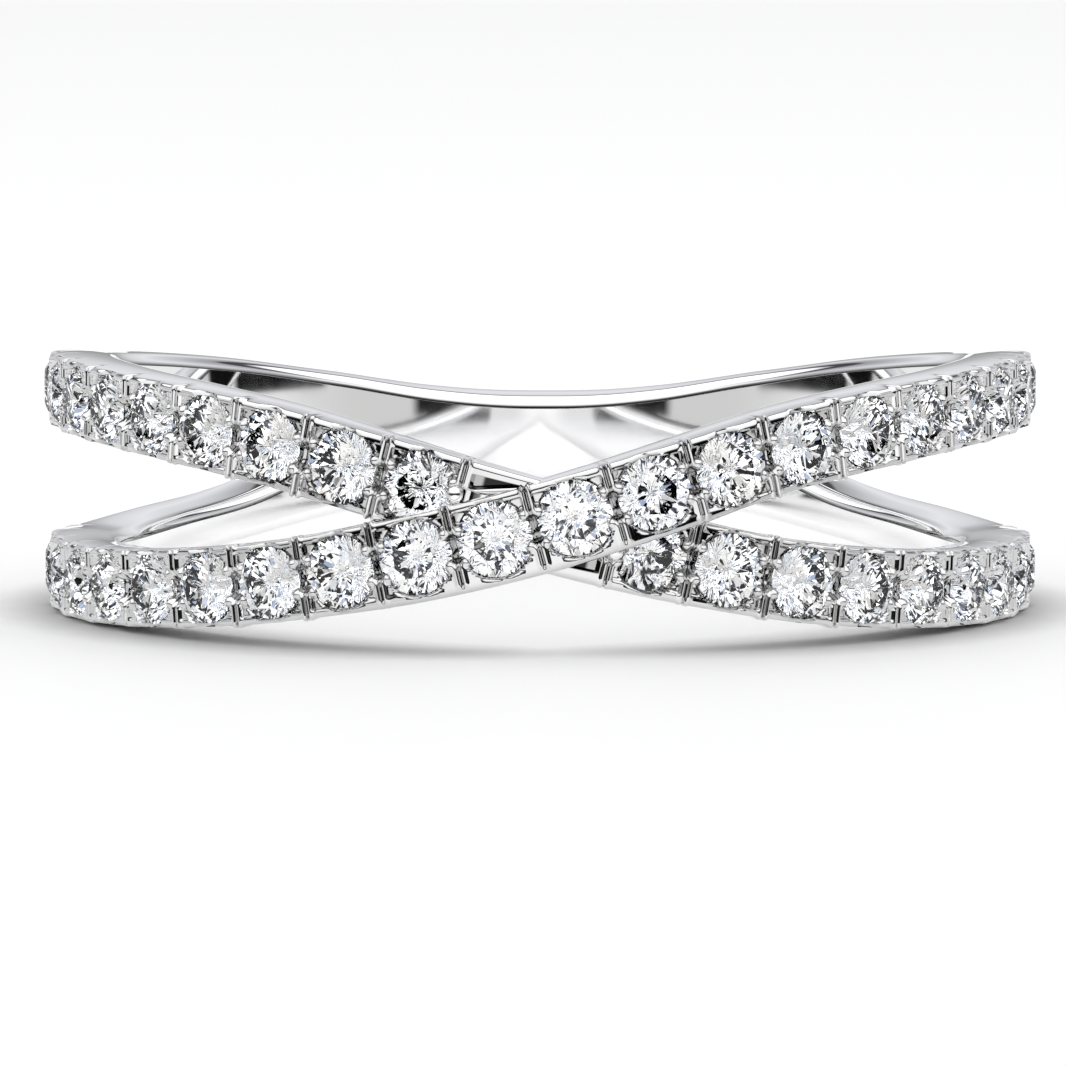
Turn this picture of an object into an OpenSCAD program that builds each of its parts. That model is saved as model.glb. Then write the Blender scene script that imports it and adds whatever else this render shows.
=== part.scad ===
// Criss-cross half-eternity ring: two bands cross at the front, run round the
// sides as a pair and join in one plain shank at the back. Each band carries a
// row of round brilliant stones in shared double prongs.
// Frame: +Z is the axis of the finger hole, the crossing faces -Y, and the ring
// lies on its side on Z = 0, on the lowest edges of the lower bands.

/* [Finger hole] */
// Diameter of the finger hole, 17.3 is US size 7
finger_d = 17.3; // [16.9:0.1:17.7]

/* [Bands] */
// Wall from the finger hole to the outside of the rails
wall_t = 1.45; // [1.4:0.01:1.55]
// Rise of the middle of a band from the crossing to its highest place
band_rise = 1.87; // [1.82:0.01:1.95]
// Sag of the over band's middle at the crossing
over_sag = 0.16; // [0.1:0.01:0.18]
// Sag of the under band's middle at the crossing
under_sag = 0.08; // [0.04:0.01:0.1]
// Depth of the worn edge along the finger hole
comfort_h = 0.34; // [0.24:0.01:0.38]

/* [Stones] */
// Distance from stone to stone along a band
stone_pitch = 1.63; // [1.6:0.01:1.64]
// Stones on each half of the over band
over_count = 11; // [9:1:11]
// Stones on each half of the under band
under_count = 10; // [8:1:10]
// Gap between a stone and the metal round it
seat_gap = 0.02; // [0.015:0.005:0.03]
// How far the under band's first stones are tucked below the over band
tuck = 0.34; // [0.32:0.01:0.36]

/* [Prongs] */
// Height of the prongs above the girdle of the stones
prong_h = 0.19; // [0.14:0.01:0.22]
// How far the prongs lean over the edges of the stones
prong_lean = 0.06; // [0.04:0.01:0.08]
// Width of a prong across the band
prong_w = 0.22; // [0.18:0.01:0.24]

/* [Hidden] */
bore_r = finger_d / 2;
rail_r = bore_r + wall_t;
// The girdles lie a little below the outside of the rails
girdle_r = rail_r - 0.1;
// Share of the radius over which the sag at the crossing fades
cross_reach = 0.4;
// The under band is tucked fully up to tuck_start degrees from the crossing, and its
// rails lie tuck_rail lower there
tuck_start = 15;
tuck_end = 26;
tuck_rail = 0.2;
// Crowned side faces: how far their inner and outer rims drop, the way from the hole
// to the crown and the width of the worn edge
inner_drop = 0.09;
outer_drop = 0.03;
crown_way = 0.85;
comfort_w = 0.3;
// The bands are swept this far into the finger hole, which is then cut true. It is cut to
// size within drum_half of the crossing and comfort_relief wider beside that, as worn
// edges are, through the lower and the upper bands
hole_overlap = 0.1;
drum_half = 0.86;
comfort_relief = 0.02;
// Height of a seat's open well, and clearances in seat gaps: of a seat's point from the
// culet, of a sunk stone's well from its girdle and of a prong's foot from a girdle
well_h = 1;
cone_clearance = 1.4;
well_clearance = 3;
prong_clearance = 2.5;
// Width of a closed seat above a table, as a share of the stone's radius
seat_table_share = 0.6;
// Sections round a band, and sides of a seat
ring_steps = 72;
girdle_sides = 16;
// Groove that splits a pair of prongs, and how deep a pair is sunk in the rail
groove_w = 0.09;
groove_z = 0.05;
prong_sink = 0.1;
prong_base = 0.03;
// How far the middle line of a row of prongs lies inside the edge of the stones
prong_inset = 0.13;
// From a junction to the middles of its stones, in degrees: its prongs follow the size of
// the stone nearer the crossing and the height of the one farther from it
stone_half_step = 4.5;
// Beads that end the under band's rows at the crossing: their size, way from the middle
// of the first stone in degrees and height above its girdle
bead_r = 0.16;
bead_way = 5;
bead_lift = 0.24;

// A band's course from the crossing to the back of the shank, by columns of this
// table: heights of its middle are shares of band_rise, widths are in millimetres
MIDDLE = 1;
HALF_WIDTH = 2;
RAIL = 3;
band_stations = [
  // azimuth, middle, half width, rail beside the stones
  [  0,  0.000, 0.90, 0.14],
  [ 15,  0.372, 0.87, 0.12],
  [ 30,  0.690, 0.83, 0.10],
  [ 45,  0.868, 0.80, 0.08],
  [ 60,  0.963, 0.78, 0.08],
  [ 75,  1.000, 0.77, 0.08],
  [ 90,  0.995, 0.73, 0.08],
  [105,  0.970, 0.60, 0.08],
  [120,  0.888, 0.55, 0.08],
  [135,  0.745, 0.55, 0.08],
  [150,  0.450, 0.73, 0.08],
  [165,  0.180, 0.83, 0.08],
  [180,  0.000, 1.01, 0.08]
];
station_step = 15;
last_station = len(band_stations) - 1;

// A row's value at station i, mirrored past both ends, odd at the crossing for the middle
function station(i, column) =
  i < 0 ? (column == MIDDLE ? -1 : 1) * band_stations[-i][column]
        : band_stations[i > last_station ? 2 * last_station - i : i][column];

// Smooth curve through the stations at azimuth a
function along(a, column) =
  let(s = abs(a) / station_step, i = min(floor(s), last_station - 1), f = s - i,
      p0 = station(i - 1, column), p1 = station(i, column),
      p2 = station(i + 1, column), p3 = station(i + 2, column))
  p1 + f * ((p2 - p0) + f * ((2 * p0 - 5 * p1 + 4 * p2 - p3) + f * (3 * p1 - p0 - 3 * p2 + p3))) / 2;

// 1 at the crossing, fading to 0 along the bands
function near_crossing(a) = abs(a) < 90 ? exp(-pow(sin(a) / cross_reach, 2)) : 0;

// 1 where the under band is tucked under the over band, 0 past tuck_end
function tucked(a) =
  let(f = min(max((tuck_end - abs(a)) / (tuck_end - tuck_start), 0), 1)) f * f * (3 - 2 * f);

// Height of a band's middle; side is 1 for the over band and -1 for the under band
function middle_z(side, a) =
  side * sign(a) * band_rise * along(a, MIDDLE)
  - (side > 0 ? over_sag : under_sag) * near_crossing(a);

function half_width(a) = along(a, HALF_WIDTH);
function stone_r(a) = half_width(a) - along(a, RAIL) - seat_gap;

// Outside of the rails and plane of the girdles, both lower where the under band is tucked
function outer_r(side, a) = rail_r - (side > 0 ? 0 : tuck_rail * tucked(a));
function stone_rho(side, a) = girdle_r - (side > 0 ? 0 : tuck * tucked(a));

// The lowest edge of the lower bands stands on Z = 0
rest_z = max([for (a = [60:1:110]) band_rise * along(a, MIDDLE) + half_width(a)]);

// Levels between which the finger hole's three drums are cut, the outer ones clear of the ring
drum_levels = [-1, rest_z - drum_half, rest_z + drum_half, 2 * rest_z + 1];

// Azimuths of the stones, an equal way apart along the band
slope_step = 0.25;
function path_length(a) = a <= 0 ? 0 :
  norm([rail_r * slope_step * PI / 180,
        band_rise * (along(a, MIDDLE) - along(a - slope_step, MIDDLE))]) + path_length(a - slope_step);
function azimuth_at(way, low = 0, high = 115) =
  high - low < 0.02 ? (low + high) / 2
  : let(half = slope_step * round((low + high) / 2 / slope_step))
    half <= low || half >= high ? (low + high) / 2
    : path_length(half) > way ? azimuth_at(way, low, half) : azimuth_at(way, half, high);
half_ways = [for (i = [0:1:over_count * 2]) azimuth_at(i * stone_pitch / 2)];

function over_azimuth(i) = (i > 0 ? 1 : -1) * half_ways[2 * abs(i) - 1];
function under_azimuth(i) = (i > 0 ? 1 : -1) * half_ways[2 * abs(i) + 1];
over_ids = [for (i = [-over_count:1:over_count]) if (i != 0) i];
under_ids = [for (i = [-under_count:1:under_count]) if (i != 0) i];
function stone_name(row, i) = str(row, i < 0 ? "_left_" : "_right_", abs(i));

// Half of a band's section as [radius, height above its middle], from within the hole
// out to the rail: the worn edge, the inner rim, the crown of the side and the outer rim
function section_half(w, r) = [
  [bore_r - hole_overlap, w - comfort_h - inner_drop],
  [bore_r + comfort_w, w - inner_drop],
  [bore_r + crown_way, w],
  [r, w - outer_drop]
];

// Section of a band in the plane of azimuth a, out along its lower side and back
// along its upper side
function band_section(side, a) =
  let(z = middle_z(side, a) + rest_z, half = section_half(half_width(a), outer_r(side, a)))
  concat(
    [for (p = half) [p[0], z - p[1]]],
    [for (i = [len(half) - 1:-1:0]) [half[i][0], z + half[i][1]]]
  );

// A closed ring swept through the sections
module band_ring(side) {
  sections = [for (k = [0:ring_steps - 1]) band_section(side, k * 360 / ring_steps - 180)];
  count = len(sections[0]);
  points = [for (k = [0:ring_steps - 1]) let(a = k * 360 / ring_steps - 270)
            for (p = sections[k]) [p[0] * cos(a), p[0] * sin(a), p[1]]];
  faces = [for (k = [0:ring_steps - 1], j = [0:count - 1])
           let(next = (k + 1) % ring_steps, up = (j + 1) % count)
           [k * count + j, k * count + up, next * count + up, next * count + j]];
  polyhedron(points = points, faces = faces, convexity = 6);
}

// Carries what is drawn about +Z to a band's face: up becomes outwards, X runs along the band
module on_band(side, a, rho) {
  rise = (middle_z(side, a + 1) - middle_z(side, a - 1)) / (2 * rho * PI / 180);
  rotate([0, 0, a - 90])
    translate([rho, 0, middle_z(side, a) + rest_z])
      rotate([atan(rise), 0, 0])
        multmatrix([[0, 0, 1, 0], [1, 0, 0, 0], [0, 1, 0, 0], [0, 0, 0, 1]])
          children();
}

// Proportions of a round brilliant as shares of its diameter
table_share = 0.57;
crown_share = 0.15;
girdle_share = 0.03;
pavilion_share = 0.43;
star_share = 0.5;
lower_half_share = 0.77;
// The star tips rise a little above, and the lower tips lie a little within, a plain cone
star_lift = 0.93;
lower_lift = 1.05;

// Points of a ring of count corners at radius r and height z, the first turned by turn
function corners(count, r, z, turn = 0) =
  [for (k = [0:count - 1]) let(t = 360 * k / count + turn) [r * cos(t), r * sin(t), z]];

// A round brilliant of radius r, its girdle's middle on Z = 0
module brilliant(r) {
  table_r = r * table_share;
  table_flat = table_r * cos(180 / 8);
  crown_z = 2 * r * (crown_share + girdle_share);
  band_z = r * girdle_share;
  culet_z = -r * (2 * pavilion_share + girdle_share);
  star_r = table_flat + (r - table_flat) * star_share;
  star_z = crown_z - (crown_z - band_z) * (star_r - table_r) / (r - table_r) * star_lift;
  low_r = r * (1 - lower_half_share);
  low_z = culet_z - (band_z + culet_z) * (low_r / r) * lower_lift;
  // Corners of the table, star tips, girdle's top and foot, lower tips, then the culet
  points = concat(
    corners(8, table_r, crown_z),
    corners(8, star_r, star_z, 180 / 8),
    corners(16, r, band_z),
    corners(16, r, -band_z),
    corners(8, low_r, low_z),
    [[0, 0, culet_z]]
  );
  star = 8;
  top = 16;
  bottom = 32;
  low = 48;
  culet = 56;
  faces = concat(
    [[for (k = [7:-1:0]) k]],
    [for (k = [0:7]) [k, (k + 1) % 8, star + k]],
    [for (k = [0:7]) [k, star + k, top + 2 * k]],
    [for (k = [0:7]) [k, top + 2 * k, star + (k + 7) % 8]],
    [for (k = [0:7]) [star + k, top + 2 * k + 1, top + 2 * k]],
    [for (k = [0:7]) [star + k, top + (2 * k + 2) % 16, top + 2 * k + 1]],
    [for (k = [0:15]) [top + k, top + (k + 1) % 16, bottom + (k + 1) % 16, bottom + k]],
    [for (k = [0:7]) [bottom + 2 * k, bottom + 2 * k + 1, low + k]],
    [for (k = [0:7]) [bottom + 2 * k + 1, bottom + (2 * k + 2) % 16, low + (k + 1) % 8]],
    [for (k = [0:7]) [bottom + 2 * k + 1, low + (k + 1) % 8, low + k]],
    [for (k = [0:7]) [low + k, low + (k + 1) % 8, culet]]
  );
  polyhedron(points = points, faces = faces);
}

// What a stone of radius r needs cut away: its pavilion and girdle with a gap
// round them, and either its crown or an open well above the girdle
module seat(r, open_above) {
  n = girdle_sides;
  wide = r + seat_gap;
  girdle_z = r * girdle_share + seat_gap;
  table_z = 2 * r * (crown_share + girdle_share) + seat_gap;
  culet_z = -r * (2 * pavilion_share + girdle_share) - cone_clearance * seat_gap;
  // Radius and height of each ring of the form, from the top down to the girdle's foot
  rings = open_above ? [[wide, well_h], [wide, -girdle_z]]
                     : [[r * seat_table_share + seat_gap, table_z], [wide, girdle_z], [wide, -girdle_z]];
  foot = (len(rings) - 1) * n;
  points = concat([for (ring = rings) each corners(n, ring[0], ring[1])], [[0, 0, culet_z]]);
  faces = concat(
    [[for (k = [n - 1:-1:0]) k]],
    [for (top = [0:n:foot - n], k = [0:n - 1])
      let(next = (k + 1) % n) [top + k, top + next, top + n + next, top + n + k]],
    [for (k = [0:n - 1]) [foot + k, foot + (k + 1) % n, foot + n]]
  );
  polyhedron(points = points, faces = faces);
}

module stone(side, a) {
  color("white") on_band(side, a, stone_rho(side, a)) brilliant(stone_r(a));
}

// Way of a row of prongs from the band's middle line, and half the length of a pair's
// foot, which ends clear of the two girdles
function prong_across(r) = r + seat_gap - prong_inset;
function prong_half_l(r) =
  let(inner = prong_across(r) - prong_w / 2)
  stone_pitch / 2 - sqrt(pow(r + prong_clearance * seat_gap, 2) - inner * inner);

// A pair of prongs split by a groove, which lean over the edges of two stones
module prong_pair(side, a, rail) {
  r = stone_r(max(abs(a) - stone_half_step, 0));
  foot = prong_half_l(r);
  tip = foot + prong_lean;
  on_band(side, a, stone_rho(side, abs(a) + stone_half_step))
    translate([0, rail * prong_across(r) + prong_w / 2, 0]) rotate([90, 0, 0])
      linear_extrude(prong_w)
        polygon([[-foot, -prong_sink], [foot, -prong_sink], [foot, prong_base], [tip, prong_h],
                 [groove_w / 2, prong_h], [0, groove_z], [-groove_w / 2, prong_h],
                 [-tip, prong_h], [-foot, prong_base]]);
}

// A round bead on the middle line of the under band, where its row ends at the crossing
module end_bead(sense) {
  a = sense * (half_ways[3] - bead_way);
  on_band(-1, a, stone_rho(-1, a) + bead_lift) sphere(r = bead_r, $fn = 8);
}

module over_prongs() {
  for (h = [0:2:2 * over_count], sense = h == 0 ? [1] : [-1, 1], rail = [-1, 1])
    prong_pair(1, sense * half_ways[h], rail);
}

module under_prongs() {
  for (h = [4:2:2 * under_count + 2], sense = [-1, 1], rail = [-1, 1])
    prong_pair(-1, sense * half_ways[h], rail);
  for (sense = [-1, 1]) {
    prong_pair(-1, sense * half_ways[2], -sense);
    end_bead(sense);
  }
}

// The under band, open above its first stones, which lie deeper than the rest
module under_band() {
  difference() {
    band_ring(-1);
    for (i = [-1, 1])
      let(a = under_azimuth(i))
        on_band(-1, a, stone_rho(-1, a))
          linear_extrude(well_h) circle(r = stone_r(a) + well_clearance * seat_gap, $fn = girdle_sides);
  }
}

// Both bands with their seats cut, and the prongs
module set_bands() {
  difference() {
    union() {
      band_ring(1);
      under_band();
    }
    for (i = over_ids)
      let(a = over_azimuth(i)) on_band(1, a, stone_rho(1, a)) seat(stone_r(a), true);
    for (i = under_ids)
      let(a = under_azimuth(i)) on_band(-1, a, stone_rho(-1, a)) seat(stone_r(a), abs(i) > 1);
  }
  over_prongs();
  under_prongs();
}

// The finger hole in three drums: through the lower bands, the crossing and the upper bands
module finger_hole() {
  for (i = [0:2])
    translate([0, 0, drum_levels[i]])
      cylinder(h = drum_levels[i + 1] - drum_levels[i],
               r = bore_r + (i == 1 ? 0 : comfort_relief), $fn = 128);
}

// The metal in one piece, kept at its own size and joined before the finger hole is cut
module ring_body() {
  color("silver") difference() {
    resize([0, 0, 0]) union() set_bands();
    finger_hole();
  }
}

ring_body();
for (i = over_ids)
  stone(1, over_azimuth(i));
for (i = under_ids)
  stone(-1, under_azimuth(i));
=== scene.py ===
import bpy
import bmesh
import math
import random
import numpy as np
from mathutils import Matrix, Vector


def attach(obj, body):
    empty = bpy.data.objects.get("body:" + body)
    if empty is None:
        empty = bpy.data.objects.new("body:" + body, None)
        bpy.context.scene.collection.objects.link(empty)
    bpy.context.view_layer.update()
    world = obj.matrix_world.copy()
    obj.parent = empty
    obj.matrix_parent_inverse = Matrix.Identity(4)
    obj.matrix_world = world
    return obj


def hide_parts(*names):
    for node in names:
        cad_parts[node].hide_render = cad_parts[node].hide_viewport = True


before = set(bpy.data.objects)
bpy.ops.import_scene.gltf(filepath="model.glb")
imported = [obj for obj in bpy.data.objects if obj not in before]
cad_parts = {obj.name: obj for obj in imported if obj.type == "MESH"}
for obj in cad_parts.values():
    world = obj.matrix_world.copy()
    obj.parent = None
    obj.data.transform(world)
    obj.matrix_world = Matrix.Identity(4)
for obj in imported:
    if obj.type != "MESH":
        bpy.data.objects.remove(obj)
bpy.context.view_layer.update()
mm = 0.001

# Course of both bands, in millimetres and degrees, the same as the CAD part
course = {
    "bore": 8.65,          # radius of the finger hole
    "wall": 1.45,          # from the hole to the top of the rails
    "rise": 1.87,
    "sag": {1: 0.16, -1: 0.08},   # over band is 1, under band is -1
    "sagReach": 0.4,
    "pitch": 1.63,         # from stone to stone
    "girdle": 0.1,         # girdles below the top of the rails
    "tuck": 0.34,          # how much deeper the under band's first stones lie
    "tuckRail": 0.2,       # and its rails there
    "tuckFrom": 15,
    "tuckTo": 26,
    "seatGap": 0.02,
    "stationStep": 15,
    # every 15 degrees from the crossing: share of the rise, half width, rail beside the stones
    "stations": [
        (0.000, 0.90, 0.14), (0.372, 0.87, 0.12), (0.690, 0.83, 0.10), (0.868, 0.80, 0.08),
        (0.963, 0.78, 0.08), (1.000, 0.77, 0.08), (0.995, 0.73, 0.08), (0.970, 0.60, 0.08),
        (0.888, 0.55, 0.08), (0.745, 0.55, 0.08), (0.450, 0.73, 0.08), (0.180, 0.83, 0.08),
        (0.000, 1.01, 0.08),
    ],
}
railRadius = course["bore"] + course["wall"]
pitch = course["pitch"]
# Stones lie between junctions, which are numbered from the crossing to either side; the under band
# has none between its junctions -1 and 1
firstJunction = {1: 0, -1: 1}
lastJunction = {1: 11, -1: 11}


def ramp(value, low, high):     # 0 up to low, 1 from high, smooth between
    part = np.clip((value - low) / (high - low), 0, 1)
    return part * part * (3 - 2 * part)


def mix(a, b, share):
    return a + (b - a) * share


# Smooth curve through the stations, mirrored past both ends and odd at the crossing for the rise
def along(azimuth, column):
    table = np.array(course["stations"])[:, column]
    last = len(table) - 1
    place = np.abs(azimuth) / course["stationStep"]
    index = np.minimum(np.floor(place).astype(int), last - 1)
    part = place - index

    def value(i):
        paintedReflection = np.where(i > last, 2 * last - i, np.abs(i))
        sign = np.where((i < 0) & (column == 0), -1, 1)
        return sign * table[paintedReflection]

    p0, p1, p2, p3 = value(index - 1), value(index), value(index + 1), value(index + 2)
    return p1 + part * ((p2 - p0) + part * ((2 * p0 - 5 * p1 + 4 * p2 - p3)
                                            + part * (3 * p1 - p0 - 3 * p2 + p3))) / 2


def tucked(azimuth):
    return ramp(np.abs(azimuth), course["tuckTo"], course["tuckFrom"])


# Middle line of a band over the ring's middle plane
def middleHeight(side, azimuth):
    sag = np.exp(-(np.sin(np.radians(azimuth)) / course["sagReach"]) ** 2) * (np.abs(azimuth) < 90)
    return side * np.sign(azimuth) * course["rise"] * along(azimuth, 0) - course["sag"][side] * sag


def railTop(side, azimuth):
    return railRadius - (side < 0) * course["tuckRail"] * tucked(azimuth)


def girdleRadius(side, azimuth):
    return railRadius - course["girdle"] - (side < 0) * course["tuck"] * tucked(azimuth)


def stoneRadius(azimuth):
    return along(azimuth, 1) - along(azimuth, 2) - course["seatGap"]


# Way along a band against azimuth
fineStep = 0.25
wayAzimuth = np.arange(0, 180.01, fineStep)
wayStep = np.hypot(railRadius * math.radians(fineStep), course["rise"] * np.diff(along(wayAzimuth, 0)))
wayLength = np.concatenate([[0], np.cumsum(wayStep)])


def azimuthAt(way):
    return np.sign(way) * np.interp(np.abs(way), wayLength, wayAzimuth)


# The ring rests on the lowest edges of the lower band, which are at its sides
sideAzimuths = np.arange(60, 111, 1.0)
middleRest = max(course["rise"] * along(sideAzimuths, 0) + along(sideAzimuths, 1))


# How far a band climbs per millimetre along it, at an azimuth
def riseAt(side, azimuth, radius, step=1):
    climb = middleHeight(side, azimuth + step) - middleHeight(side, azimuth - step)
    return climb / (2 * math.radians(step) * radius)


# Metal: bands, rails, split prongs and seats in one mesh, a grid of rows along the bands.
# Heights and depths are from the top of the rails, in millimetres
metalParts = {
    "inset": 0.03,           # of the rims from the course's half width
    "aside": (20, 50),       # degrees from which and to which the form changes to that of the sides
    "edge": 0.075,           # rounding of the outer rims, and of those round the sides
    "edgeAside": 0.10,
    "edgeTurn": (35, 70),
    "bevelIn": 0.30,         # bevels of the finger hole: out from the hole and along it
    "bevelAlong": 0.255,
    "bevelInset": 0.05,
    "bevelSteps": 5,
    "rim": 0.55,             # share of the rail that stays whole beside a window
    "windowDepth": 0.13,
    "windowAside": 0.03,     # depth round the sides
    "windowReach": 0.50,     # from the junction along the band
    "barHalf": 0.125,        # half width of a split prong pair
    "barTop": 0.035,
    "prongRound": 0.03,      # how far each prong falls at its half width
    "prongHalf": 0.055,
    # plain strip along the lower rims at the crossing, below the prongs
    "strip": 0.10,
    "stripOut": 0.06,        # how much it makes the band wider
    "stripUnder": 0.6,       # its share on the under band, which has it on the right alone
    # painted grey shade over the strip
    "stripTone": 0.30,
    "stripFrom": 14,         # degrees to either side at which it begins to end and has ended
    "stripTo": 30,
    "saddle": 0.25,          # depth between two stones on the middle line
    "saddleFrom": 0.10,      # where the saddle's floor ends and where its walls meet the prongs
    "saddleTo": 0.36,
    "seat": 0.07,            # how far a seat's rim lies below the girdle, and its slope to the middle
    "seatSlope": 0.85,
    "seatReach": 0.035,      # beyond the stone
    "split": 0.055,          # depth of the groove that splits a pair
    "splitHalf": 0.03,
    "notch": 0.03,           # depth of that groove in the side of the rail
    "grooveHalf": 0.026,
    "post": 0.05,            # how far the posts stand out over the rail, and round the sides
    "postAside": 0.012,
    "postTurn": (30, 55),
    "postWay": 0.07,         # place of the posts from the junction, and their half width
    "postHalf": 0.045,
    "postUp": 0.6,           # share of it that also stands out upwards
    # points of the sides: down from the rail, out from the rim and how strong the groove is
    "sideForm": [
        (-0.14, 0.006, 0.9), (-0.22, 0.015, 0.6), (-0.38, 0.026, 0.15),
        (-0.60, 0.030, 0.0), (-0.86, 0.016, 0.0), (-1.15, -0.020, 0.0),
    ],
    "tipAcross": 0.42,       # prong tips, as a share of the stone's radius from the middle line
    "tipRadius": 0.105,
    "tipTop": 0.05,
    "tipOut": 0.015,         # from the stone's edge
    "tipRound": 0.09,
    # plain end of the under band's row: a slot along its outer rail and a leaf beside it
    "slotFrom": 0.40,        # way from the crossing at which it starts as a point
    "slotTo": 1.45,
    "slotDepth": 0.36,
    "slotPoint": 0.655,      # place across of the point
    "slotOuter": 0.61,       # and of both long sides at the wide end
    "slotInner": 0.31,
    "leafWidth": 0.15,
    "leafTop": 0.05,
    # share of the leaf's width and of its height
    "leafForm": [(0.12, -0.1), (0.3, 0.7), (0.5, 1.0), (0.7, 0.85), (0.88, 0.4), (1.0, -0.2)],
    # round beads that end the under band's rows: way from the crossing and place across
    "beadRadius": 0.19,
    "beadWay": 1.70,
    "beadAcross": 0.12,
    "beadSunk": 0.05,
    # what of the under band lies below the over band's seats is cut down to this
    "buried": 0.95,
    "innerStep": 0.008,      # on its inner side it lies this much behind the over band
    "colour": (0.93, 0.93, 0.935),
    "shade": (0.40, 0.395, 0.39),   # painted shade in recesses and on walls, 0.6 of the way from the colour to black
    "black": (0.03, 0.03, 0.03),    # painted black, at the foot of the deepest walls, in the slot and along the inner line
    # painted shade, as places on that way
    "setting": 0.17,                # painted shade over the whole outer face, and round the sides
    "settingAside": 0.06,
    "inDepth": 0.18,                # more painted shade in recesses, from and to these depths
    "depths": (0.05, 0.25),
    "onWall": 0.50,                 # more painted shade on walls, from and to these slopes
    "onWallAside": 0.22,
    "slopes": (0.8, 3.5),
    "brightDepths": (0.27, 0.33),   # under the stones the seats stay bright, free of painted shade
    # painted shade in the groove between two prongs
    "inGroove": 0.8,
    "inSlot": (1.0, 0.5),           # painted black along the slot, and painted grey at its wide end
    "stripDarker": 0.04,            # more painted shade down the strip, from point to point
    "innerLine": 1.0,               # painted dark reflection line where the upper bevels end inside, at the sides and back
    "innerLineFrom": 65,
    "innerLineTo": 95,
    "wearScale": 900,
    "polish": (0.012, 0.035),       # least and most roughness
    "polishInside": 0.012,          # more on the inside of the ring
}
# Rows of the grid: ways from a junction, fewer at the last three of each row, and on the plain
# stretch behind the stones one in so many degrees
fromJunction = [0, .018, .04, .066, .09, .115, .14, .175, .22, .28, .36, .46, .58, .70]
fromFarJunction = [0, .03, .066, .115, .14, .175, .25, .4, .6]
farJunction = 9
plainStep = 1.25
slotRows = 83
# and its columns, as shares of half the outer face
acrossHalf = [0, .09, .18, .27, .35, .42, .48, .535, .585, .63, .67, .71, .745, .78, .815, .85,
              .885, .92, .96]


# Ways along a band at which a row of the grid lies, closer where the under band's slots are
def bandRows(side):
    ways = []
    last = lastJunction[side]
    for k in range(-last, last + 1):
        for step in (fromJunction if abs(k) < farJunction else fromFarJunction):
            ways += [k * pitch - step, k * pitch + step]
    ways += [(k + 0.5) * pitch for k in range(-last - 1, last + 1)]
    if side < 0:
        slotEnd = metalParts["slotTo"] + 0.015
        ways = [w for w in ways if abs(w) > slotEnd + 0.01]
        ways += list(np.linspace(-slotEnd, slotEnd, slotRows))
    ways = sorted(set(round(w, 6) for w in ways))
    plainAzimuths = np.arange(azimuthAt(ways[-1]) + plainStep, 180, plainStep)
    plain = np.interp(plainAzimuths, wayAzimuth, wayLength)
    return np.array(sorted(list(-plain) + ways + list(plain)) + [wayLength[-1]])


# Places across and heights of the 20 columns on the under band's free side at the crossing: what the
# over band covers up to covered, a leaf, the slot beside it and the rail
def crossingColumns(way, faceHalf, covered):
    m = metalParts
    share = np.clip((np.abs(way) - m["slotFrom"]) / (m["slotTo"] - m["slotFrom"]), 0, 1)
    inner = mix(m["slotPoint"], m["slotInner"], share)
    outer = mix(m["slotPoint"], m["slotOuter"], share) + 0.004
    wall = np.clip((outer - inner) / 4, 0.001, 0.012)
    width = m["leafWidth"] * np.sin(math.pi * np.clip(share * 1.02, 0, 0.98)) ** 0.6 + 2e-3
    shown = ((share > 0) & (share < 1)) * 1.0
    leafTop = m["leafTop"] * ramp(width, 0.01, 0.08) * shown
    depth = m["slotDepth"] * shown
    places = [np.maximum(covered - 0.14, 0), np.maximum(covered - 0.045, 0.01), inner - width]
    heights = [0 * inner, 0 * inner, -0.5 * leafTop]
    for part, lift in m["leafForm"]:
        places.append(inner - width * (1 - part))
        heights.append(lift * leafTop)
    for part in (0, 0.25, 0.5, 0.75, 1):
        places.append(mix(inner + wall, outer - wall, part))
        heights.append(-depth)
    for part in (0, 0.15, 0.4, 0.65, 0.85, 1):
        places.append(mix(outer, faceHalf, part))
        heights.append(0 * inner)
    for i in range(2, len(places)):
        places[i] = np.maximum(places[i], places[1] + 0.002 * i)
    return np.stack(places, 1), np.stack(heights, 1)


# 1 where a band has its plain strip, 0 elsewhere
def stripShare(side, azimuth):
    share = 1 - ramp(np.abs(azimuth), metalParts["stripFrom"], metalParts["stripTo"])
    return share if side > 0 else metalParts["stripUnder"] * share * (azimuth > 0)


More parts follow.
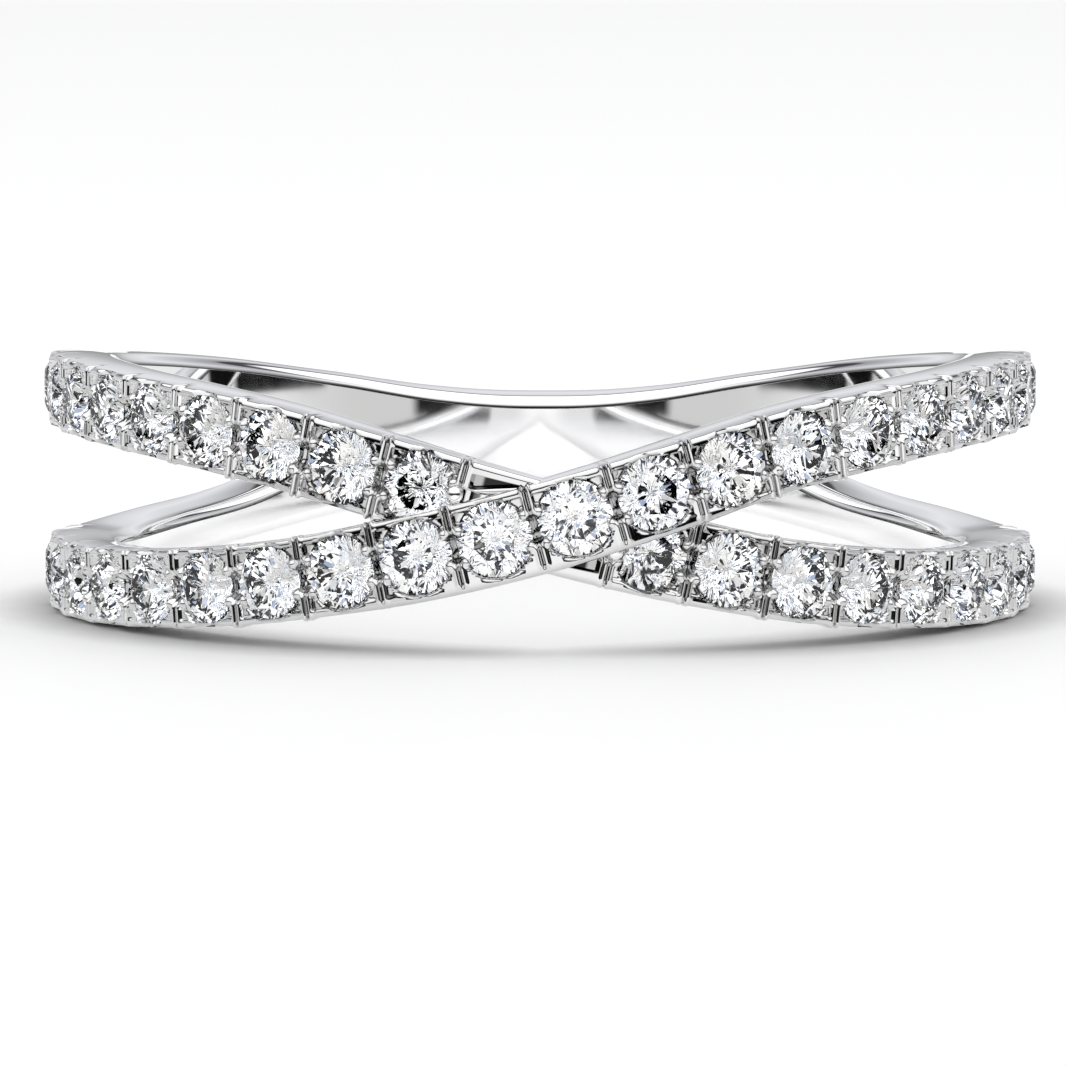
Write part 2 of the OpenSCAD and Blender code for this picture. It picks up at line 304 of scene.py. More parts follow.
# Height of the outer face above the rails at a way along the band and a place across it
def settingHeight(side, way, across, half, azimuth):
    m = metalParts
    junction = np.round(way / pitch)
    u = np.abs(way - junction * pitch)
    t = np.abs(across)
    cell = np.floor(np.abs(way) / pitch)
    stoneWay = (cell + 0.5) * pitch
    stoneAzimuth = azimuthAt(stoneWay)
    stone = stoneRadius(stoneAzimuth)
    hasStone = (cell >= firstJunction[side]) & (cell < lastJunction[side])
    inRow = (np.abs(way) > firstJunction[side] * pitch - m["barHalf"] - 0.05) \
        & (np.abs(way) < lastJunction[side] * pitch + m["barHalf"] + 0.05)
    girdle = girdleRadius(side, stoneAzimuth) - railTop(side, azimuth)
    fromStone = np.hypot(pitch / 2 - u, across)

    # windows beside the stones
    rail = along(azimuth, 2) * m["rim"]
    inside = ramp(half - m["edge"] - t, rail, rail + 0.04)
    window = mix(m["windowDepth"], m["windowAside"], ramp(np.abs(azimuth), *m["aside"]))
    window = window * (1 - stripShare(side, azimuth) * (across < 0))
    height = -window * inside * ramp(m["windowReach"] - u, 0, 0.08) * hasStone

    # split prongs and the saddle between them
    barTop = m["barTop"] - (m["barTop"] + m["saddle"]) * (1 - ramp(t, m["saddleFrom"], m["saddleTo"]))
    barTop = barTop - m["split"] * np.exp(-(u / m["splitHalf"]) ** 2) * ramp(t, 0.25, 0.4)
    barTop = barTop - m["prongRound"] * ((u - m["postWay"]) / m["prongHalf"]) ** 2
    height = mix(height, barTop, ramp(m["barHalf"] - u, -0.01, 0.02) * inRow)
    # neither on the plain strip
    inStrip = stripShare(side, azimuth) * ramp(-across, half - m["strip"], half - m["strip"] + 0.03)
    height = height * (1 - inStrip)

    # the seat, then the prong tips over its rim
    well = girdle - m["seat"] - m["seatSlope"] * np.maximum(stone - fromStone, 0)
    height = mix(height, well, ramp(stone + m["seatReach"] - fromStone, 0, 0.045) * hasStone)

    tipAcross = m["tipAcross"] * stone
    tipWay = pitch / 2 - np.sqrt(stone ** 2 - tipAcross ** 2) + m["tipOut"]
    fromTip = np.hypot(u - tipWay, t - tipAcross) / m["tipRadius"]
    tip = m["tipTop"] - m["tipRound"] * fromTip ** 2
    height = np.where(hasStone & (fromTip < 1.5), np.maximum(height, tip), height)
    if side < 0:
        height = np.where(np.abs(way) < pitch - m["barHalf"], 0, height)
    return height


# How dark the painted shade makes the outer face at each of its points, 0 to 1
def faceShade(side, ways, azimuth, half, across, height):
    m = metalParts
    steepWay = np.abs(np.gradient(height, axis=0) / np.gradient(ways, axis=0))
    steepAcross = np.abs(np.gradient(height, axis=1) / np.gradient(across, axis=1))
    depth = ramp(-height, *m["depths"])
    wall = ramp(np.maximum(steepWay, steepAcross), *m["slopes"])
    aside = ramp(np.abs(azimuth), *m["aside"])
    onWall = mix(m["onWall"], m["onWallAside"], aside)
    # painted shade over the face, deeper in recesses and on walls
    shade = mix(m["setting"], m["settingAside"], aside) + m["inDepth"] * depth + onWall * wall
    shade = shade * (1 - ramp(-height, *m["brightDepths"]))
    # painted black along the under band's slot, grey at its wide end
    inSlot = (np.abs(ways) < m["slotTo"]) & (height < -0.9 * m["slotDepth"]) & (side < 0)
    slotEnd = ramp(np.abs(ways), m["slotTo"] - 0.22, m["slotTo"] - 0.18)
    shade = np.where(inSlot, mix(*m["inSlot"], slotEnd), shade)
    # painted grey shade over the plain strip
    onStrip = ramp(-across, half - m["strip"] - 0.05, half - m["strip"] + 0.05)
    shade = mix(shade, m["stripTone"], onStrip * stripShare(side, azimuth))
    return np.clip(shade, 0, 1)


# Outer face from the lower to the upper rail: places across, heights above the rails and painted shades
def outerFace(side, ways, azimuth, slope, half, edge):
    m = metalParts
    face = np.array([-f for f in reversed(acrossHalf + [1.0])] + acrossHalf[1:] + [1.0])
    faceHalf = half - m["inset"] - edge
    across = face[None, :] * faceHalf[:, None]
    stripOut = m["stripOut"] * stripShare(side, azimuth)
    across = across - np.maximum(-face, 0)[None, :] ** 3 * stripOut[:, None]
    wayGrid = np.repeat(ways[:, None], len(face), 1)
    azimuthGrid = np.repeat(azimuth[:, None], len(face), 1)
    halfGrid = np.repeat(half[:, None], len(face), 1)
    height = settingHeight(side, wayGrid, across, halfGrid - m["inset"], azimuthGrid)
    if side < 0:
        middleColumn = len(acrossHalf)
        for hand in (-1, 1):
            rows = np.nonzero((hand * ways > 0) & (np.abs(ways) < m["slotTo"] + 0.02))[0]
            place = azimuth[rows]
            covered = along(place, 1) - hand * (middleHeight(1, place) - middleHeight(-1, place))
            covered = np.minimum(covered / np.cos(slope[rows]), m["slotPoint"] - 0.05)
            places, heights = crossingColumns(ways[rows], faceHalf[rows], covered)
            free = middleColumn - hand * np.arange(places.shape[1])
            across[rows[:, None], free] = -hand * places
            height[rows[:, None], free] = heights
    return across, height, faceShade(side, wayGrid, azimuthGrid, halfGrid, across, height)


# Upper (up is 1) or lower side from the rim to the hole, column by column: radius, place across
# and painted shade. The groove between two prongs runs down from the rail and fades
def sideColumns(side, up, ways, azimuth, half, edge, rimHeight):
    m = metalParts
    u = np.abs(ways - np.round(ways / pitch) * pitch)
    rowFrom = firstJunction[side] * pitch - 0.2
    rowTo = lastJunction[side] * pitch + 0.2
    inRow = (np.abs(ways) > rowFrom) & (np.abs(ways) < rowTo)
    groove = np.exp(-(u / m["grooveHalf"]) ** 2) * inRow
    ridge = np.exp(-((u - m["postWay"]) / m["postHalf"]) ** 2) * inRow
    post = mix(m["post"], m["postAside"], ramp(np.abs(azimuth), *m["postTurn"]))
    strip = stripShare(side, azimuth) * (up < 0)
    top = railTop(side, azimuth)
    columns = []
    rim = [(-0.3 * edge, -0.3 * edge, 1.0), (-edge, 0.0, 1.0)]
    for i, (down, out, fade) in enumerate(rim + m["sideForm"]):
        radius = top + down + rimHeight * max(0, 1 - i / 2)
        if i > 4:
            radius = np.full(len(ways), railRadius + down)
        place = half - m["inset"] + out + (post * ridge - m["notch"] * groove) * fade * (1 - strip)
        place = place + m["stripOut"] * strip
        radius = radius + m["postUp"] * post * ridge * fade * (1 - strip)
        # painted shade in the groove and on the rim
        tone = m["inGroove"] * groove * fade * (1 - strip) + (m["setting"] if i < 2 else 0)
        # painted shade on the strip, darker down the side
        tone = mix(tone, m["stripTone"] + m["stripDarker"] * i, strip * (i < 6))
        columns.append((radius, up * place, tone))

    # a painted dark line in place of a reflection, along the upper bevel's inner end
    innerLine = m["innerLine"] * ramp(np.abs(azimuth), m["innerLineFrom"], m["innerLineTo"])
    wallHalf = half - m["bevelAlong"] - m["bevelInset"]
    for i in range(1, m["bevelSteps"] + 1):
        angle = math.radians(90 * i / m["bevelSteps"])
        radius = np.full(len(ways), course["bore"] + m["bevelIn"] * (1 - math.sin(angle)))
        place = wallHalf + m["bevelAlong"] * math.cos(angle) + m["stripOut"] * strip
        columns.append((radius, up * place, innerLine * (up > 0 and i == m["bevelSteps"])))
    wall = np.full(len(ways), course["bore"])
    columns.append((wall, up * 0.96 * wallHalf, np.zeros(len(ways))))
    return columns


# Radii of the under band that leave the over band's seats and its inner side free
def belowOver(radius, turn, z):
    m = metalParts
    degrees = np.degrees(turn)
    fromOver = np.abs(z - middleHeight(1, degrees))
    under = (np.abs(degrees) < 30) & (fromOver < 0.93 * along(degrees, 1))
    radius = np.where(under, np.minimum(radius, railRadius - m["buried"]), radius)
    return np.maximum(radius, course["bore"] + m["innerStep"] * ramp(np.abs(degrees), 30, 20))


# Positions of a band's grid in millimetres, rows by columns, and how much painted shade each has
def bandGrid(side):
    m = metalParts
    ways = bandRows(side)
    azimuth = azimuthAt(ways)
    rise = riseAt(side, azimuth, railRadius, 0.05)
    slope = np.arctan(np.where(np.abs(azimuth) > 179, 0, rise))
    half = along(azimuth, 1) * np.cos(slope)
    edge = mix(m["edge"], m["edgeAside"], ramp(np.abs(azimuth), *m["edgeTurn"]))
    faceAcross, height, faceTone = outerFace(side, ways, azimuth, slope, half, edge)
    upper = sideColumns(side, 1, ways, azimuth, half, edge, height[:, -1])
    lower = sideColumns(side, -1, ways, azimuth, half, edge, height[:, 0])
    rest = [np.stack(columns, 1) for columns in zip(*upper, *lower[::-1])]
    radius = np.concatenate([railTop(side, azimuth)[:, None] + height, rest[0]], 1)
    across = np.concatenate([faceAcross, rest[1]], 1)
    paintedShade = np.concatenate([faceTone, rest[2]], 1)

    turn = np.radians(azimuth)[:, None] - across * np.sin(slope)[:, None] / radius
    z = middleHeight(side, azimuth)[:, None] + across * np.cos(slope)[:, None]
    if side < 0:
        radius = belowOver(radius, turn, z)
    # behind the windows both bands end on the ring's middle plane and make one shank
    part = np.sign(side * azimuth)[:, None]
    behind = np.abs(azimuth)[:, None] > 120
    z = np.where(behind, part * np.maximum(part * z, 0), z)
    points = np.stack([radius * np.sin(turn), -radius * np.cos(turn), z + middleRest], 2)
    return points, paintedShade


# A round bead at the end of the under band's row
def addBead(bm, sense):
    m = metalParts
    azimuth = float(azimuthAt(sense * m["beadWay"]))
    lean = math.atan(float(riseAt(-1, azimuth, railRadius)))
    across = -sense * m["beadAcross"]
    radius = float(railTop(-1, azimuth)) - m["beadSunk"]
    turn = math.radians(azimuth) - across * math.sin(lean) / radius
    z = float(middleHeight(-1, azimuth)) + across * math.cos(lean) + middleRest
    centre = Vector((radius * math.sin(turn), -radius * math.cos(turn), z)) * mm
    bmesh.ops.create_icosphere(bm, subdivisions=3, radius=m["beadRadius"] * mm,
                               matrix=Matrix.Translation(centre))


def buildMetal():
    overPoints, overPaintedShade = bandGrid(1)
    underPoints, underPaintedShade = bandGrid(-1)
    # the over band's upper end runs on into the under band's, so both make one closed tube
    points = np.concatenate([overPoints, underPoints])
    paintedShade = np.concatenate([overPaintedShade, underPaintedShade])
    rows, columns = points.shape[:2]
    index = np.arange(rows * columns).reshape(rows, columns)
    nextRow = np.roll(index, -1, 0)
    quads = np.stack([index, np.roll(index, -1, 1), np.roll(nextRow, -1, 1), nextRow], 2).reshape(-1, 4)
    mesh = bpy.data.meshes.new("ring_metal")
    mesh.from_pydata((points.reshape(-1, 3) * mm).tolist(), [], quads[:, ::-1].tolist())
    fromHole = np.hypot(points[..., 0], points[..., 1]) - course["bore"]
    inside = ramp(fromHole, 0.2, 0.02)
    # the painted shade goes on the mesh as a point attribute
    for name, share in (("paintedShade", paintedShade), ("inside", inside)):
        attribute = mesh.attributes.new(name, "FLOAT", "POINT")
        attribute.data.foreach_set("value", share.reshape(-1).astype(np.float32))
    bm = bmesh.new()
    bm.from_mesh(mesh)
    bmesh.ops.remove_doubles(bm, verts=bm.verts, dist=1e-7)
    # the shank's two halves meet without a wall between them
    onMiddle = [v.co.y > 0 and abs(v.co.z - middleRest * mm) < 1e-8 for v in bm.verts]
    bm.verts.index_update()
    walls = [f for f in bm.faces if all(onMiddle[v.index] for v in f.verts)]
    bmesh.ops.delete(bm, geom=walls, context="FACES")
    for sense in (-1, 1):
        addBead(bm, sense)
    bmesh.ops.dissolve_degenerate(bm, edges=bm.edges, dist=1e-7)
    bm.to_mesh(mesh)
    bm.free()
    mesh.shade_smooth()
    mesh.set_sharp_from_angle(angle=math.radians(55))
    piece = bpy.data.objects.new("ring_metal", mesh)
    bpy.context.scene.collection.objects.link(piece)
    print("metal:", len(mesh.vertices), "vertices,", len(mesh.polygons), "faces")
    return piece


# Round brilliants
gemCut = {
    "table": 0.57,         # shares of the girdle's radius
    "girdle": 0.03,
    "sides": 48,
    "crownAngle": 34.5,
    "upperAngle": 41.1,
    "starAngle": 21.4,
    "pavilionAngle": 42.6,
    "lowerAngle": 43.8,
    "refraction": 2.65,
    "glint": (0.30, 0.30, 0.32),    # how much the facets mirror from outside
    "tintScale": 3000,
    # random tint of the stones' colour, painted in for fire
    "tint": [(0.25, (0.82, 0.90, 1.0)), (0.5, (1.0, 1.0, 1.0)), (0.75, (1.0, 0.96, 0.90))],
}


# A cut stone of girdle radius 1: a short rod with each facet's plane cut off it
def buildBrilliant():
    g = gemCut
    band = g["girdle"]
    tableHeight = band + (1 - g["table"]) * math.tan(math.radians(g["crownAngle"]))
    tableEdge = g["table"] * math.cos(math.pi / 8)
    cuts = [(Vector((0, 0, 1)), tableHeight)]

    def facets(count, first, angle, reach, height, up):
        tilt = math.radians(angle)
        for k in range(count):
            turn = math.radians(first + 360 * k / count)
            outward = Vector((math.cos(turn), math.sin(turn), 0))
            normal = outward * math.sin(tilt) + Vector((0, 0, up * math.cos(tilt)))
            cuts.append((normal, reach * math.sin(tilt) + height * math.cos(tilt)))

    facets(8, 0, g["crownAngle"], 1, band, 1)
    facets(8, 22.5, g["starAngle"], tableEdge, tableHeight, 1)
    facets(16, 11.25, g["upperAngle"], math.cos(math.pi / 16), band, 1)
    facets(8, 0, g["pavilionAngle"], 1, band, -1)
    facets(16, 11.25, g["lowerAngle"], math.cos(math.pi / 16), band, -1)
    bm = bmesh.new()
    bmesh.ops.create_cone(bm, cap_ends=True, segments=g["sides"], radius1=1, radius2=1, depth=2.4)
    for normal, reach in cuts:
        cut = bmesh.ops.bisect_plane(bm, geom=bm.verts[:] + bm.edges[:] + bm.faces[:], dist=1e-6,
                                     plane_co=normal * reach, plane_no=normal, clear_outer=True)
        rim = [e for e in cut["geom_cut"] if isinstance(e, bmesh.types.BMEdge) and e.is_boundary]
        if len(rim) > 2:
            bmesh.ops.edgeloop_fill(bm, edges=rim)
    bmesh.ops.recalc_face_normals(bm, faces=bm.faces)
    mesh = bpy.data.meshes.new("brilliant")
    bm.to_mesh(mesh)
    bm.free()
    return mesh


# Both rows of stones, counted from the crossing, each turned by chance in its seat
def setStones(mesh):
    dice = random.Random(4)
    for side, row in ((1, "over"), (-1, "under")):
        first, last = firstJunction[side], lastJunction[side]
        for i in range(first, last):
            for hand, sign in (("left", -1), ("right", 1)):
                azimuth = float(azimuthAt(sign * (i + 0.5) * pitch))
                radius = float(girdleRadius(side, azimuth))
                z = float(middleHeight(side, azimuth)) + middleRest
                slope = math.atan(float(riseAt(side, azimuth, radius)))
                turn = Matrix.Rotation(math.radians(azimuth), 4, "Z")
                place = Matrix.Translation((0, -radius * mm, z * mm))
                lean = Matrix.Rotation(-slope, 4, "Y") @ Matrix.Rotation(math.pi / 2, 4, "X")
                spin = Matrix.Rotation(math.radians(dice.uniform(0, 45)), 4, "Z")
                size = Matrix.Scale(float(stoneRadius(azimuth)) * mm, 4)
                cut = mesh.copy()
                cut.transform(turn @ place @ lean @ spin @ size)
                number = i - first + 1
                stone = bpy.data.objects.new(f"{row}_gem_{hand}_{number}", cut)
                bpy.context.scene.collection.objects.link(stone)
                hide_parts(f"{row}_stone_{hand}_{number}")
                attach(stone, "root")
        print(row, "band:", 2 * (last - first), "stones")


# Materials
def mathNode(tree, operation, first, second=None):
    node = tree.nodes.new("ShaderNodeMath")
    node.operation = operation
    for socket, value in zip(node.inputs, (first, second)):
        if isinstance(value, (int, float)):
            socket.default_value = value
        elif value is not None:
            tree.links.new(value, socket)
    return node.outputs[0]


def addMapRange(tree, value, fromMin, fromMax, toMin, toMax, smooth=False):
    node = tree.nodes.new("ShaderNodeMapRange")
    if smooth:
        node.interpolation_type = "SMOOTHSTEP"
    ends = {"From Min": fromMin, "From Max": fromMax, "To Min": toMin, "To Max": toMax}
    for name, number in ends.items():
        node.inputs[name].default_value = number
    tree.links.new(value, node.inputs["Value"])
    return node.outputs["Result"]


def mixColours(tree, share, first, second):
    node = tree.nodes.new("ShaderNodeMix")
    node.data_type = "RGBA"
    for name, value in (("Factor", share), ("A", first), ("B", second)):
        if isinstance(value, (int, float)):
            node.inputs[name].default_value = value
        elif isinstance(value, tuple):
            node.inputs[name].default_value = (*value, 1)
        else:
            tree.links.new(value, node.inputs[name])
    return node.outputs["Result"]


def colourRamp(tree, value, stops, interpolation="LINEAR"):
    node = tree.nodes.new("ShaderNodeValToRGB")
    node.color_ramp.interpolation = interpolation
    for i, (position, colour) in enumerate(stops):
        element = node.color_ramp.elements[i] if i < 2 else node.color_ramp.elements.new(position)
        element.position = position
        element.color = (*colour, 1)
    tree.links.new(value, node.inputs["Fac"])
    return node.outputs["Color"]


def addNoise(tree, scale, detail=2):
    coordinates = tree.nodes.new("ShaderNodeTexCoord")
    noise = tree.nodes.new("ShaderNodeTexNoise")
    noise.inputs["Scale"].default_value = scale
    noise.inputs["Detail"].default_value = detail
    tree.links.new(coordinates.outputs["Object"], noise.inputs["Vector"])
    return noise.outputs["Fac"]


def addAttribute(tree, name):
    node = tree.nodes.new("ShaderNodeAttribute")
    node.attribute_name = name
    return node.outputs["Fac"]


def metalMaterial():
    m = metalParts
    material = bpy.data.materials.new("polished white metal")
    material.use_nodes = True
    tree = material.node_tree
    shader = tree.nodes["Principled BSDF"]
    shader.inputs["Metallic"].default_value = 1.0
    rough = addMapRange(tree, addNoise(tree, m["wearScale"], 3), 0.3, 0.7, *m["polish"])
    softer = mathNode(tree, "MULTIPLY", addAttribute(tree, "inside"), m["polishInside"])
    tree.links.new(mathNode(tree, "ADD", rough, softer), shader.inputs["Roughness"])
    # painted shade from the attribute: the metal's colour, grey shade in recesses and on walls, black
    # in the slot and along a painted dark line inside
    tones = [(0.0, m["colour"]), (0.6, m["shade"]), (1.0, m["black"])]
    colour = colourRamp(tree, addAttribute(tree, "paintedShade"), tones)
    tree.links.new(colour, shader.inputs["Base Color"])
    return material


def gemMaterial():
    material = bpy.data.materials.new("moissanite")
    material.use_nodes = True
    tree = material.node_tree
    shader = tree.nodes["Principled BSDF"]
    shader.inputs["Roughness"].default_value = 0.0
    shader.inputs["IOR"].default_value = gemCut["refraction"]
    shader.inputs["Specular Tint"].default_value = (*gemCut["glint"], 1)
    shader.inputs["Transmission Weight"].default_value = 1.0
    # painted fire: a random blue and warm tint in the stones' colour stands in for the colours of
    # dispersion
    fire = colourRamp(tree, addNoise(tree, gemCut["tintScale"]), gemCut["tint"])
    tree.links.new(fire, shader.inputs["Base Color"])
    return material


metal = buildMetal()
metal.data.materials.append(metalMaterial())
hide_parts("ring_body")
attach(metal, "root")
brilliant = buildBrilliant()
brilliant.materials.append(gemMaterial())
print("brilliant:", len(brilliant.polygons), "facets")
setStones(brilliant)

# Stage: white floor with painted reflections, painted black cards and a painted contact shadow, a white
# studio all round with black cards, soft light from above
studio = {
    "floorColour": (0.96, 0.96, 0.96),
    "floorReach": 3.0,
    # painted contact shadow under the ring, and how far it reaches
    "contactShadowColour": (0.20, 0.20, 0.19),
    "contactReach": 0.0016,
    "sky": 1.0,                        # what lights the floor and is seen past it
    # painted reflection, the floor's colour in the metal's mirror alone: grey, white in a wedge from
    # the back of the ring forwards
    "floorGrey": (0.60, 0.60, 0.595),
    "floorWhite": (1.05, 1.05, 1.05),
    "wedgeBack": 0.009,
    "wedgeWhite": 6,                   # degrees to each side
    "wedgeGrey": 27,
    "straightFrom": 160,               # and straight behind the ring, degrees from the front
    "straightTo": 174,
    "floorAside": (0.80, 0.80, 0.80),  # and towards the sides and the back
    "asideFrom": 58,
    "asideTo": 100,
    "floorNear": (1.15, 1.15, 1.15),   # painted light, brighter where the floor lies in the ring's own shadow
    "nearFrom": 0.009,
    "nearTo": 0.0135,
    # what the metal mirrors of the room, by the height of a direction: one set of colours in front
    # and one behind, which change over between these Y of a direction
    "frontTo": -0.6,
    "behindFrom": 0.3,
    "behind": [(0.0, (0.30, 0.30, 0.31)), (0.03, (0.42, 0.42, 0.435)), (0.13, (0.68, 0.685, 0.71)),
               (0.26, (0.82, 0.825, 0.85)), (0.40, (0.60, 0.605, 0.63)), (0.54, (0.36, 0.36, 0.375)),
               (0.56, (0.07, 0.07, 0.08)), (0.61, (0.07, 0.07, 0.08)), (0.65, (1.3, 1.3, 1.3))],
    "front": [(0.0, (0.01, 0.01, 0.01)), (0.11, (0.015, 0.015, 0.015)), (0.16, (0.13, 0.13, 0.13)),
              (0.32, (0.28, 0.28, 0.28)), (0.42, (1.2, 1.2, 1.2))],
    # black cards painted on the floor for the metal's mirror alone: degrees from the front to each side
    # and metres from the ring's middle
    "black": (0.003, 0.003, 0.003),
    "cards": [
        {"from": 17, "to": 41, "near": 0.0315, "far": 9, "soft": 0.0015},
        {"from": 104, "to": 146, "near": 0.0118, "far": 0.0165, "soft": 0.0008},
        {"from": 70, "to": 104, "near": 0.0435, "far": 0.056, "soft": 0.002},
        {"from": -9, "to": 66, "near": 0.056, "far": 9, "soft": 0.004},
    ],
    "cardSoft": 4,                     # degrees
    # what the stones throw back: small dark and coloured patches on white, fewer to the sides, as light
    # from the room and painted on the floor for rays through the stones
    "sparkleScale": 8.0,
    "sparkle": [(0.0, (0.0, 0.0, 0.001)), (0.29, (0.03, 0.036, 0.05)), (0.36, (0.22, 0.26, 0.34)),
                (0.50, (1.0, 1.0, 1.0)), (0.992, (0.8, 0.62, 0.45)), (0.996, (0.32, 0.4, 0.8))],
    "sparkleWhite": 2.0,
    "sparkleLift": 0.62,
    "skyLiftFrom": -0.8,               # Y of a direction in the room
    "skyLiftTo": -0.2,
    "liftFrom": 30,                    # on the floor, degrees from the front
    "liftTo": 75,
    "ringMiddle": 0.0026,              # its height
    "bouncesInStones": 7,
    "lamp": (0.02, 0.05, 0.30),
    "lampSize": 0.25,
    "lampPower": 0.11,
}


# 1 on the painted black cards, from the degrees to the side and the distance of a place on the floor
def cardMask(tree, aside, away):
    black = None
    for card in studio["cards"]:
        mask = None
        for value, low, high, soft in ((aside, card["from"], card["to"], studio["cardSoft"]),
                                       (away, card["near"], card["far"], card["soft"])):
            for edge, half in ((low, soft / 2), (high, -soft / 2)):
                side = addMapRange(tree, value, edge - half, edge + half, 0, 1, True)
                mask = side if mask is None else mathNode(tree, "MULTIPLY", mask, side)
        black = mask if black is None else mathNode(tree, "MAXIMUM", black, mask)
    return black


# Degrees to either side of the front, from a direction's or a place's X and Y
def degreesAside(tree, x, y):
    toFront = mathNode(tree, "MULTIPLY", y, -1)
    return mathNode(tree, "ABSOLUTE", mathNode(tree, "DEGREES", mathNode(tree, "ARCTAN2", x, toFront)))


# A kind of coordinates and its X, Y and Z
def coordinateParts(tree, output):
    coordinates = tree.nodes.new("ShaderNodeTexCoord")
    split = tree.nodes.new("ShaderNodeSeparateXYZ")
    tree.links.new(coordinates.outputs[output], split.inputs[0])
    return coordinates.outputs[output], split.outputs


# Patches of the sparkle over a direction. Lift brings every patch nearer to white, and White is
# how bright the lightest are
def sparkleGroup():
    group = bpy.data.node_groups.new("sparkle", "ShaderNodeTree")
    group.interface.new_socket("Vector", in_out="INPUT", socket_type="NodeSocketVector")
    group.interface.new_socket("Lift", in_out="INPUT", socket_type="NodeSocketFloat")
    group.interface.new_socket("White", in_out="INPUT", socket_type="NodeSocketFloat")
    group.interface.new_socket("Color", in_out="OUTPUT", socket_type="NodeSocketColor")
    given = group.nodes.new("NodeGroupInput")
    result = group.nodes.new("NodeGroupOutput")
    cells = group.nodes.new("ShaderNodeTexVoronoi")
    cells.inputs["Scale"].default_value = studio["sparkleScale"]
    group.links.new(given.outputs["Vector"], cells.inputs["Vector"])
    chance = group.nodes.new("ShaderNodeSeparateColor")
    group.links.new(cells.outputs["Color"], chance.inputs[0])
    toMiddle = mathNode(group, "SUBTRACT", 0.6, chance.outputs[0])
    raised = mathNode(group, "MULTIPLY", given.outputs["Lift"], toMiddle)
    chosen = mathNode(group, "ADD", chance.outputs[0], raised)
    patches = colourRamp(group, chosen, studio["sparkle"], "CONSTANT")
    scaled = group.nodes.new("ShaderNodeVectorMath")
    scaled.operation = "SCALE"
    group.links.new(patches, scaled.inputs[0])
    group.links.new(given.outputs["White"], scaled.inputs["Scale"])
    group.links.new(scaled.outputs[0], result.inputs["Color"])
    return group


sparkle = sparkleGroup()


def addSparkle(tree, direction, lift, white):
    node = tree.nodes.new("ShaderNodeGroup")
    node.node_tree = sparkle
    tree.links.new(direction, node.inputs["Vector"])
    tree.links.new(lift, node.inputs["Lift"])
    node.inputs["White"].default_value = white
    return node.outputs["Color"]


def buildWorld():
    world = bpy.data.worlds.new("studio")
    world.use_nodes = True
    bpy.context.scene.world = world
    tree = world.node_tree
    background = tree.nodes["Background"]
    direction, (x, y, z) = coordinateParts(tree, "Generated")
    front = colourRamp(tree, z, studio["front"])
    behind = colourRamp(tree, z, studio["behind"])
    toBehind = addMapRange(tree, y, studio["frontTo"], studio["behindFrom"], 0, 1, True)
    room = mixColours(tree, toBehind, front, behind)
    lift = addMapRange(tree, y, studio["skyLiftFrom"], studio["skyLiftTo"],
                       0, studio["sparkleLift"], True)
    patches = addSparkle(tree, direction, lift, studio["sparkleWhite"])
    path = tree.nodes.new("ShaderNodeLightPath")
    colour = mixColours(tree, path.outputs["Is Glossy Ray"], (studio["sky"],) * 3, room)
    colour = mixColours(tree, path.outputs["Is Transmission Ray"], colour, patches)
    tree.links.new(colour, background.inputs["Color"])
    background.inputs["Strength"].default_value = 1.0


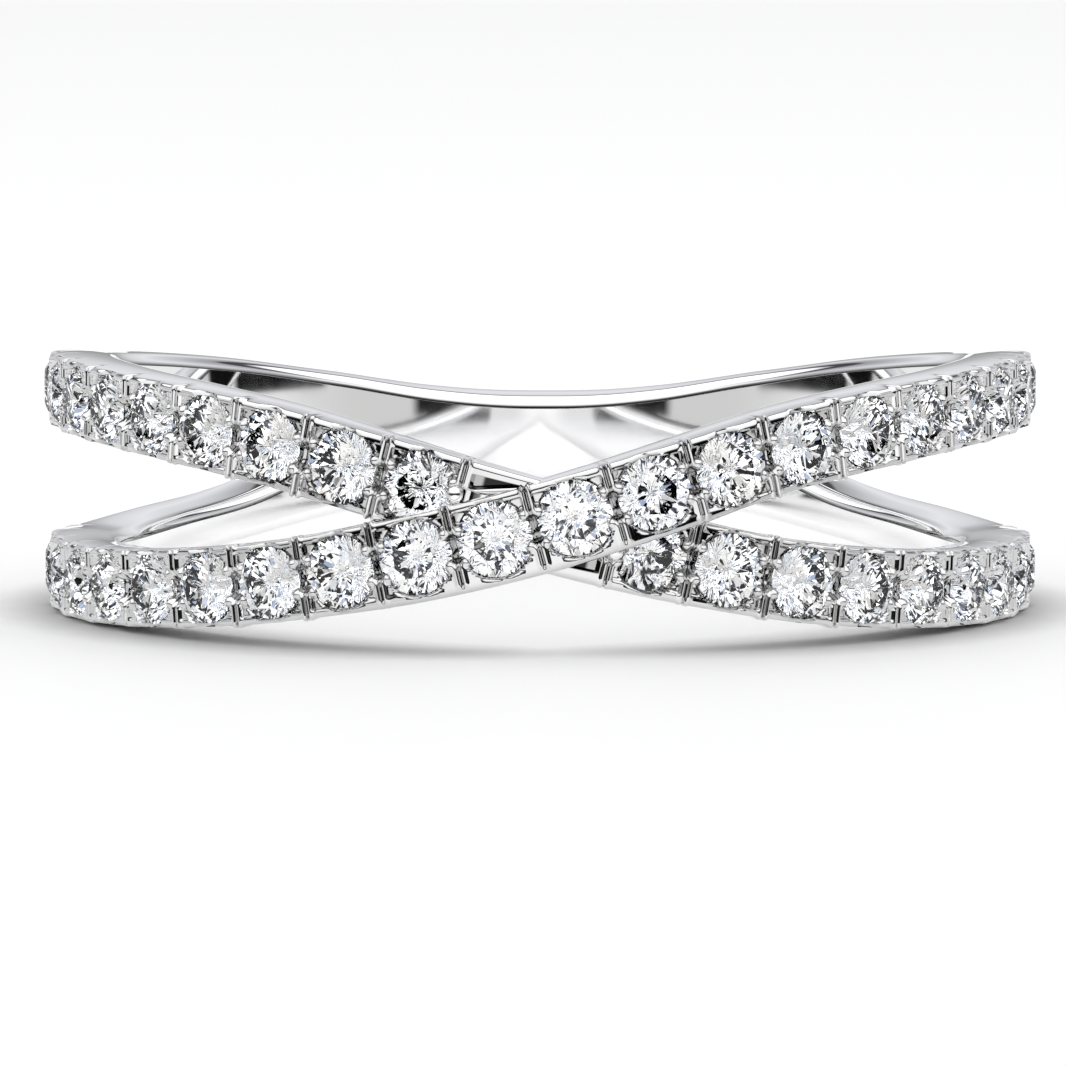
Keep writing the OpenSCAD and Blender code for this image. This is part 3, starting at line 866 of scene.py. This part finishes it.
def buildFloor():
    mesh = bpy.data.meshes.new("floor")
    reach = studio["floorReach"]
    corners = [(-reach, -reach, 0), (reach, -reach, 0), (reach, reach, 0), (-reach, reach, 0)]
    mesh.from_pydata(corners, [], [(0, 1, 2, 3)])
    floor = bpy.data.objects.new("floor", mesh)
    bpy.context.scene.collection.objects.link(floor)
    material = bpy.data.materials.new("white sweep")
    material.use_nodes = True
    tree = material.node_tree
    shader = tree.nodes["Principled BSDF"]
    shader.inputs["Roughness"].default_value = 0.6
    place, (x, y, z) = coordinateParts(tree, "Object")
    away = tree.nodes.new("ShaderNodeVectorMath")
    away.operation = "LENGTH"
    tree.links.new(place, away.inputs[0])
    aside = degreesAside(tree, x, y)

    # painted reflection: what the metal mirrors of the floor, a colour it shows to glossy rays alone
    fromBack = mathNode(tree, "SUBTRACT", y, studio["wedgeBack"])
    fromWedge = degreesAside(tree, x, fromBack)
    wedge = addMapRange(tree, fromWedge, studio["wedgeWhite"], studio["wedgeGrey"], 1, 0, True)
    wedgeBehind = addMapRange(tree, aside, studio["straightFrom"], studio["straightTo"], 0, 1, True)
    wedge = mathNode(tree, "MAXIMUM", wedge, wedgeBehind)
    toSide = addMapRange(tree, aside, studio["asideFrom"], studio["asideTo"], 0, 1, True)
    paintedReflection = mixColours(tree, toSide, studio["floorGrey"], studio["floorAside"])
    near = addMapRange(tree, away.outputs["Value"], studio["nearFrom"], studio["nearTo"], 1, 0, True)
    paintedReflection = mixColours(tree, near, paintedReflection, studio["floorNear"])
    paintedReflection = mixColours(tree, wedge, paintedReflection, studio["floorWhite"])
    cards = cardMask(tree, aside, away.outputs["Value"])
    paintedReflection = mixColours(tree, cards, paintedReflection, studio["black"])

    # painted contact shadow, darker right under the ring
    contact = tree.nodes.new("ShaderNodeAmbientOcclusion")
    contact.samples = 8
    contact.inputs["Distance"].default_value = studio["contactReach"]
    plain = mixColours(tree, contact.outputs["AO"], studio["contactShadowColour"], studio["floorColour"])
    # painted sparkle: the stones' sparkle goes on below the horizon, in the floor's colour for rays
    # through the stones
    raised = tree.nodes.new("ShaderNodeVectorMath")
    raised.operation = "SUBTRACT"
    raised.inputs[1].default_value = (0, 0, studio["ringMiddle"])
    tree.links.new(place, raised.inputs[0])
    direction = tree.nodes.new("ShaderNodeVectorMath")
    direction.operation = "NORMALIZE"
    tree.links.new(raised.outputs[0], direction.inputs[0])
    lift = addMapRange(tree, aside, studio["liftFrom"], studio["liftTo"],
                       0, studio["sparkleLift"], True)
    patches = addSparkle(tree, direction.outputs[0], lift, studio["floorColour"][0])

    path = tree.nodes.new("ShaderNodeLightPath")
    plain = mixColours(tree, path.outputs["Is Transmission Ray"], plain, patches)
    colour = mixColours(tree, path.outputs["Is Glossy Ray"], plain, paintedReflection)
    tree.links.new(colour, shader.inputs["Base Color"])
    sheen = addMapRange(tree, path.outputs["Is Glossy Ray"], 0, 1, 0.5, 0)
    tree.links.new(sheen, shader.inputs["Specular IOR Level"])
    mesh.materials.append(material)


def addLamp():
    light = bpy.data.lights.new("top softbox", "AREA")
    light.shape = "DISK"
    light.size = studio["lampSize"]
    light.energy = studio["lampPower"]
    lamp = bpy.data.objects.new("top softbox", light)
    bpy.context.scene.collection.objects.link(lamp)
    lamp.location = studio["lamp"]
    aim = Vector((0, 0, studio["ringMiddle"])) - lamp.location
    lamp.rotation_euler = aim.to_track_quat("-Z", "Y").to_euler()


# Camera at the photo's angle
view = {
    "away": 0.160,         # from the ring's middle
    "lift": 5.07,          # degrees up, and to the right
    "turn": 0.59,
    "lens": 261.4,
    "sensor": 36,
    "shift": (-0.0068, -0.0541),
    "clip": (0.001, 20),
}


def addCamera():
    camera = bpy.data.cameras.new("camera")
    holder = bpy.data.objects.new("camera", camera)
    bpy.context.scene.collection.objects.link(holder)
    lift, turn = math.radians(view["lift"]), math.radians(view["turn"])
    target = Vector((0, 0, middleRest * mm))
    sight = Vector((math.sin(turn) * math.cos(lift), -math.cos(turn) * math.cos(lift), math.sin(lift)))
    holder.location = target + sight * view["away"]
    holder.rotation_euler = (-sight).to_track_quat("-Z", "Y").to_euler()
    camera.lens = view["lens"]
    camera.sensor_width = view["sensor"]
    camera.shift_x, camera.shift_y = view["shift"]
    camera.clip_start, camera.clip_end = view["clip"]
    bpy.context.scene.camera = holder


buildWorld()
buildFloor()
addLamp()
addCamera()
bpy.context.scene.view_settings.view_transform = "Standard"
# light goes round many times inside a stone before it leaves
bpy.context.scene.cycles.glossy_bounces = studio["bouncesInStones"]
print("stage and camera set")
